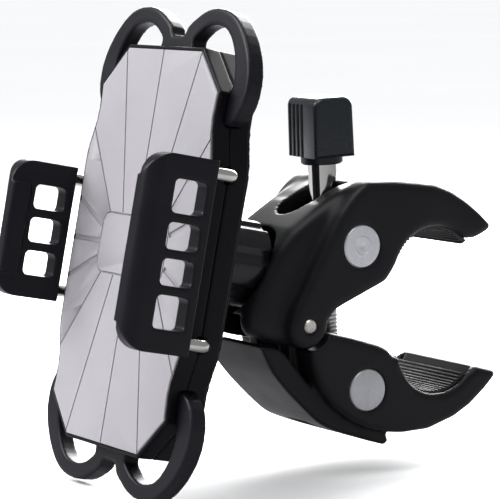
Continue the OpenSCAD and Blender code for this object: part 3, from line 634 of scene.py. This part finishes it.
# ---- Knob ----
# A moulded cap pressed over the screw's head, with finger grooves down its two narrow faces.
# Its long faces are smooth and rounded over at the top, above a short round collar.
knob_w, knob_t, knob_h, knob_low = 16.4, 11.5, 15.5, sleeve_top + 2.0
knob_turned, groove_r, collar_r = math.radians(-6), 0.62, 5.4
shoulder_r = 2.6
shoulder_x, shoulder_y = knob_t / 2 - shoulder_r - 0.2, knob_h - shoulder_r
cap_side = [(-knob_t / 2, 0), (knob_t / 2, 0)] + \
    arc((shoulder_x, shoulder_y), shoulder_r, 0, 90, 6) + \
    arc((-shoulder_x, shoulder_y), shoulder_r, 90, 180, 6)
cap = body("knob_cap", prism(cap_side, -knob_w / 2, knob_w / 2, 1.3, 5))
cut(cap, *[moved(rod(groove_r, -1, knob_h - 1.9, sides=20),
                 BAR.inverted() @ Matrix.Translation((x, side * (knob_t / 2 - 0.12), 0)))
           for side in (-1, 1) for x in (-6.0, -3.8, -1.6, 0.6)])
change(cap, "BEVEL", width=0.22, segments=2, limit_method="ANGLE", angle_limit=math.radians(35))
cap.data.transform(Matrix.Translation((0, 0, knob_low)) @ Matrix.Rotation(knob_turned, 4, "Z") @ BAR)
head_bore = 3.02
collar = lathe([(head_bore + 0.01, sleeve_top), (collar_r - 0.4, sleeve_top), (collar_r, sleeve_top + 0.4),
                (collar_r, knob_low + 0.3), (head_bore + 0.01, knob_low + 0.3),
                (head_bore + 0.01, sleeve_top)], 64)
cut(cap, rod(head_bore, knob_low - 1, sleeve_top + 10, sides=48))
cut(cap, collar, operation="UNION")
settle(cap, SCREW, 30)
knob_black = finish("knob_black", (0.007, 0.009, 0.012), (0.010, 0.013, 0.017), (0.25, 0.32), 0.5, 0.003,
                    specular=0.32)
hand_over(cap, knob_black, "screw", "knob")

# ---- Ball stud, its nut and the ball's cups ----
# A hard plastic ball on a steel-cored neck, bolted through the hump from inside.
# Two thin cups in the socket press on the ball so that it holds where it is put.
ball_r = 8.0
stud = body("ball", lathe([
    (ball_r * math.sin(math.radians(a)), -ball_r * math.cos(math.radians(a))) for a in range(0, 151, 5)] + [
    (3.7, 7.6), (3.6, 8.2), (3.6, 11.7), (5.9, 11.9), (6.2, 12.2), (6.2, 13.6), (3.0, 13.6),
    (3.0, 20.6), (2.7, 20.8), (0, 20.8)], 80))
settle(stud, BAR @ BALL, 35)
gloss_black = finish("gloss_black", (0.005, 0.005, 0.006), (0.008, 0.008, 0.009), (0.2, 0.28), 0.5, 0.002,
                     specular=0.35)
hand_over(stud, gloss_black, "upper_clamp", "ball_stud")
acetal_white = finish("acetal_white", (0.72, 0.71, 0.66), (0.78, 0.77, 0.73), (0.35, 0.45), 0.4, 0.004)
dress(nodes["stud_nut"], thread_steel)
dress(nodes["friction_cup"], acetal_white)
dress(nodes["spring_cup"], thread_steel)

# ---- Ball socket ----
# A moulded cup on a round foot, slit and threaded outside so that the ring nut squeezes it.
# Two small screws hold its foot to the back of the cradle.


def cad_copy(name, node):
    """The model's solid as a fresh piece, in millimetres in the cradle's own frame."""
    piece = bpy.data.objects.new(name, nodes[node].data.copy())
    bpy.context.scene.collection.objects.link(piece)
    piece.data.transform(CRADLE.inverted() @ Matrix.Scale(1000, 4) @ nodes[node].matrix_world)
    weld = bmesh.new()
    weld.from_mesh(piece.data)
    bmesh.ops.remove_doubles(weld, verts=weld.verts, dist=1e-4)
    weld.to_mesh(piece.data)
    weld.free()
    return piece


def into_cradle(piece, material, rider, node, sharp=60):
    """Puts a piece made in the cradle's frame in its place and hands it over."""
    settle(piece, CRADLE, sharp)
    hand_over(piece, material, rider, node)


socket = cad_copy("socket_cup", "ball_socket")
soften(socket, 0.22, 2)
into_cradle(socket, gloss_black, "cradle", "ball_socket")
dress(nodes["socket_screws"], thread_steel)

# ---- Ring nut ----
# Seven broad scallops make the lobes that the fingers turn, and their crests are rounded.
# The same glossy plastic as the ball and its socket.
nut = cad_copy("lobed_nut", "ring_nut")
soften(nut, 0.3, 5)
into_cradle(nut, gloss_black, "nut", "ring_nut")

# ---- Rear shell of the cradle ----
# The deep half of the housing, with a set-back rim around a lower step.
# Every outer corner is rounded; the posts for the springs stand inside.
housing_black = finish("housing_black", (0.003, 0.003, 0.004), (0.0045, 0.0045, 0.006), (0.3, 0.38), 0.3,
                       0.004, specular=0.1)
rear = cad_copy("rear_housing", "rear_shell")
soften(rear, 0.4, 3)
change(rear, "DECIMATE", ratio=0.5)
into_cradle(rear, housing_black, "cradle", "rear_shell")

# ---- Front shell of the cradle ----
# The shallow half, which meets the rear one in a fine seam at the rods' level.
# A thin lip stands around the pad, just below its face.
front = cad_copy("front_housing", "front_shell")
soften(front, 0.4, 2)
change(front, "DECIMATE", ratio=0.5)
into_cradle(front, housing_black, "cradle", "front_shell")

# ---- Four shell screws ----
# Small pan heads with a cross recess, sunk in the back of the housing.
# They reach through the rear shell into the front one.
bosses = [(u, v) for u in (-18.5, 18.5) for v in (-42.45, 42.45)]
shell_screw = body("case_screws", *[moved(lathe([
    (0, -12.6), (1.5, -12.6), (1.95, -12.3), (2.0, -11.4), (1.0, -11.4), (1.0, -4.5), (0.8, -4.4),
    (0, -4.4)], 32), Matrix.Translation((u, v, 0))) for u, v in bosses])
cut(shell_screw, *[prism([(u - a, v - b), (u + a, v - b), (u + a, v + b), (u - a, v + b)], -13, -12.0)
                   for u, v in bosses for a, b in ((1.2, 0.25), (0.25, 1.2))])
into_cradle(shell_screw, thread_steel, "cradle", "shell_screws", 30)

# ---- Soft pad ----
# Pale grey rubber glued into the front shell, moulded with a small blank panel in the middle
# and shallow grooves that fan out from it.
groove_d = 0.45
pad = cad_copy("soft_pad", "pad")
change(pad, "BEVEL", width=0.4, segments=3, limit_method="ANGLE", angle_limit=math.radians(60))


def groove(x0, y0, x1, y1, wide):
    """A narrow straight trench in the pad's face."""
    run = math.dist((x0, y0), (x1, y1))
    dx, dy = (x1 - x0) / run * wide / 2, (y1 - y0) / run * wide / 2
    return prism([(x0 - dy, y0 + dx), (x1 - dy, y1 + dx), (x1 + dy, y1 - dx), (x0 + dy, y0 - dx)],
                 -groove_d, 1)


panel_w, panel_h, panel_r = 16.5, 7.8, 3      # half sizes and corner of the blank panel


def half_frame(side, wide):
    """Half of a rounded frame around the blank panel."""
    turn = 0 if side > 0 else 180
    near, far, up = side * (panel_w - panel_r), -side * (panel_w - panel_r), side * (panel_h - panel_r)
    outer = arc((near, up), panel_r, turn, turn + 90, 8) + arc((far, up), panel_r, turn + 90, turn + 180, 8)
    inner = arc((far, up), panel_r - wide, turn + 180, turn + 90, 8) + \
        arc((near, up), panel_r - wide, turn + 90, turn, 8)
    past = -side * 0.05
    start, middle = [(side * panel_w, past)], [(-side * panel_w, past), (-side * (panel_w - wide), past)]
    return prism(start + outer + middle + inner + [(side * (panel_w - wide), past)], -groove_d, 1)


thin, broad, past_edge = 0.5, 1.4, 31
rays = [((0, 8), (0, 50)), ((7.2, 7.9), (18.3, 49.5)), ((13.5, 7.7), (28.6, 28.6))]
trenches = [half_frame(side, thin) for side in (1, -1)]
for (x0, y0), (x1, y1) in rays:
    for sx in ((1,) if x0 == 0 else (1, -1)):
        trenches += [groove(sx * x0, sy * y0, sx * x1, sy * y1, thin) for sy in (1, -1)]
for sx in (1, -1):
    for x0, y0, y1 in ((16.7, 4.1, 10.4), (16.4, 0, 0), (16.7, -4.1, -10.4)):
        trenches.append(groove(sx * x0, y0, sx * past_edge, y1, broad))
cut(pad, *trenches)
pad_grey = finish("pad_grey", (0.27, 0.26, 0.28), (0.3, 0.29, 0.31), (0.42, 0.52), 0.35, 0.006,
                  specular=0.3)
into_cradle(pad, pad_grey, "cradle", "pad", 20)

# ---- Silicone bands ----
# Stretchy black silicone loops that hook over the corners of the phone.
# They are cut from one thickness, with softly rounded edges.
silicone_black = finish("silicone_black", (0.006, 0.006, 0.0085), (0.009, 0.009, 0.012), (0.3, 0.42), 0.6,
                        0.004, specular=0.15)
for name, node in (("top_loops", "upper_band"), ("bottom_loops", "lower_band")):
    loops = cad_copy(name, node)
    soften(loops, 0.35, 5)
    into_cradle(loops, silicone_black, "cradle", node)

# ---- Phone jaws ----
# Each jaw is a thick plastic wall with an inward lip along its top and a row of open windows.
# All of its edges are rounded, the outer top edge the most.
jaw_black = finish("jaw_black", (0.005, 0.005, 0.007), (0.0075, 0.0075, 0.010), (0.28, 0.36), 0.3, 0.003,
                   specular=0.14)
UPRIGHT = Matrix.Rotation(math.pi / 2, 4, "X")
jaw_in, jaw_out, jaw_low, jaw_top = 31.5, 36.5, 1.0, 19.5
roll_r, corner_r, lip_in = 4, 6, 1.5                       # outer edge, ends, and the lip's reach
window_low, window_high, window_r = 3.4, 12.2, 1.3


def phone_jaw(name, length, windows, turn):
    """One jaw on the right-hand side, its windows given along its length, then turned to its side."""
    half = length / 2
    section = [(jaw_in, jaw_low), (jaw_out, jaw_low)] + arc(
        (jaw_out - roll_r, jaw_top - roll_r), roll_r, 0, 90, 10) + [
        (jaw_in - 1, jaw_top), (jaw_in - lip_in, jaw_top - 0.6), (jaw_in - lip_in, jaw_top - 4.8),
        (jaw_in, jaw_top - 5.8)]
    piece = body(name, moved(prism(section, -half, half), UPRIGHT))
    side = [(-half, jaw_low - 1), (half, jaw_low - 1)] + arc(
        (half - corner_r, jaw_top - corner_r), corner_r, 0, 90, 12) + arc(
        (-half + corner_r, jaw_top - corner_r), corner_r, 90, 180, 12)
    cut(piece, moved(prism(side, jaw_in - 4, jaw_out + 2), BAR), operation="INTERSECT")
    for end in (-1, 1):
        low, high = sorted((end * (half - corner_r), end * (half + 1)))
        cut(piece, moved(prism([(low, 0), (high, 0), (high, 25), (low, 25)], jaw_in - 4, jaw_in), BAR))
    for low, high in windows:
        corners = [(high - window_r, window_high - window_r), (low + window_r, window_high - window_r),
                   (low + window_r, window_low + window_r), (high - window_r, window_low + window_r)]
        hole = [p for i, corner in enumerate(corners) for p in arc(corner, window_r, 90 * i, 90 * i + 90, 5)]
        cut(piece, moved(prism(hole, jaw_in - 3, jaw_out + 3), BAR))
    soften(piece, 0.3, 6)
    piece.data.transform(Matrix.Rotation(turn, 4, "Z"))
    return piece


right = phone_jaw("right_grip", 47, [(9.7, 17.8), (1.1, 7.5), (-7.5, -1.1), (-17.8, -9.7)], 0)
into_cradle(right, jaw_black, "right_arm", "right_jaw")
left = phone_jaw("left_grip", 35, [(5.4, 11.6), (-3.1, 3.1), (-11.6, -5.4)], math.pi)
into_cradle(left, jaw_black, "left_arm", "left_jaw")

# ---- Rods, racks, pinion and springs ----
# Polished rods bend up into the jaws; inside, moulded racks on both sides of one small gear
# keep the jaws centred, and two close-wound springs pull them together.
rod_steel = finish("rod_steel", (0.55, 0.53, 0.5), (0.72, 0.7, 0.67), (0.12, 0.22), 0.6, 0.003,
                   cloud_mm=4, metallic=1.0)
for node in ("right_rods", "left_rods", "pinion_axle"):
    dress(nodes[node], rod_steel)
for node in ("right_rack", "left_rack", "pinion"):
    dress(nodes[node], acetal_white)
wire_r, coil_r, coil_pitch = 0.32, 1.46, 0.68
spring_from, spring_to, spring_v, spring_n = -21.1, 1.8, 26.55, -5.3
coil_turns = int((spring_to - spring_from) / coil_pitch)
coils = []
for end in (0, math.pi):
    coil = bmesh.new()
    bmesh.ops.create_circle(coil, cap_ends=True, segments=8, radius=wire_r,
                            matrix=Matrix.Translation((coil_r, 0, 0)) @ Matrix.Rotation(math.pi / 2, 4, "X"))
    bmesh.ops.spin(coil, geom=coil.verts[:] + coil.edges[:] + coil.faces[:], cent=(0, 0, 0),
                   axis=(0, 0, 1), dvec=(0, 0, coil_pitch / 20), angle=2 * math.pi * coil_turns,
                   steps=20 * coil_turns)
    bmesh.ops.recalc_face_normals(coil, faces=coil.faces)
    lying = Matrix.Translation((spring_from, spring_v, spring_n)) @ Matrix.Rotation(math.pi / 2, 4, "Y")
    coils.append(moved(coil, Matrix.Rotation(end, 4, "Z") @ lying))
springs = body("wound_springs", *coils)
into_cradle(springs, rod_steel, "cradle", "return_springs")
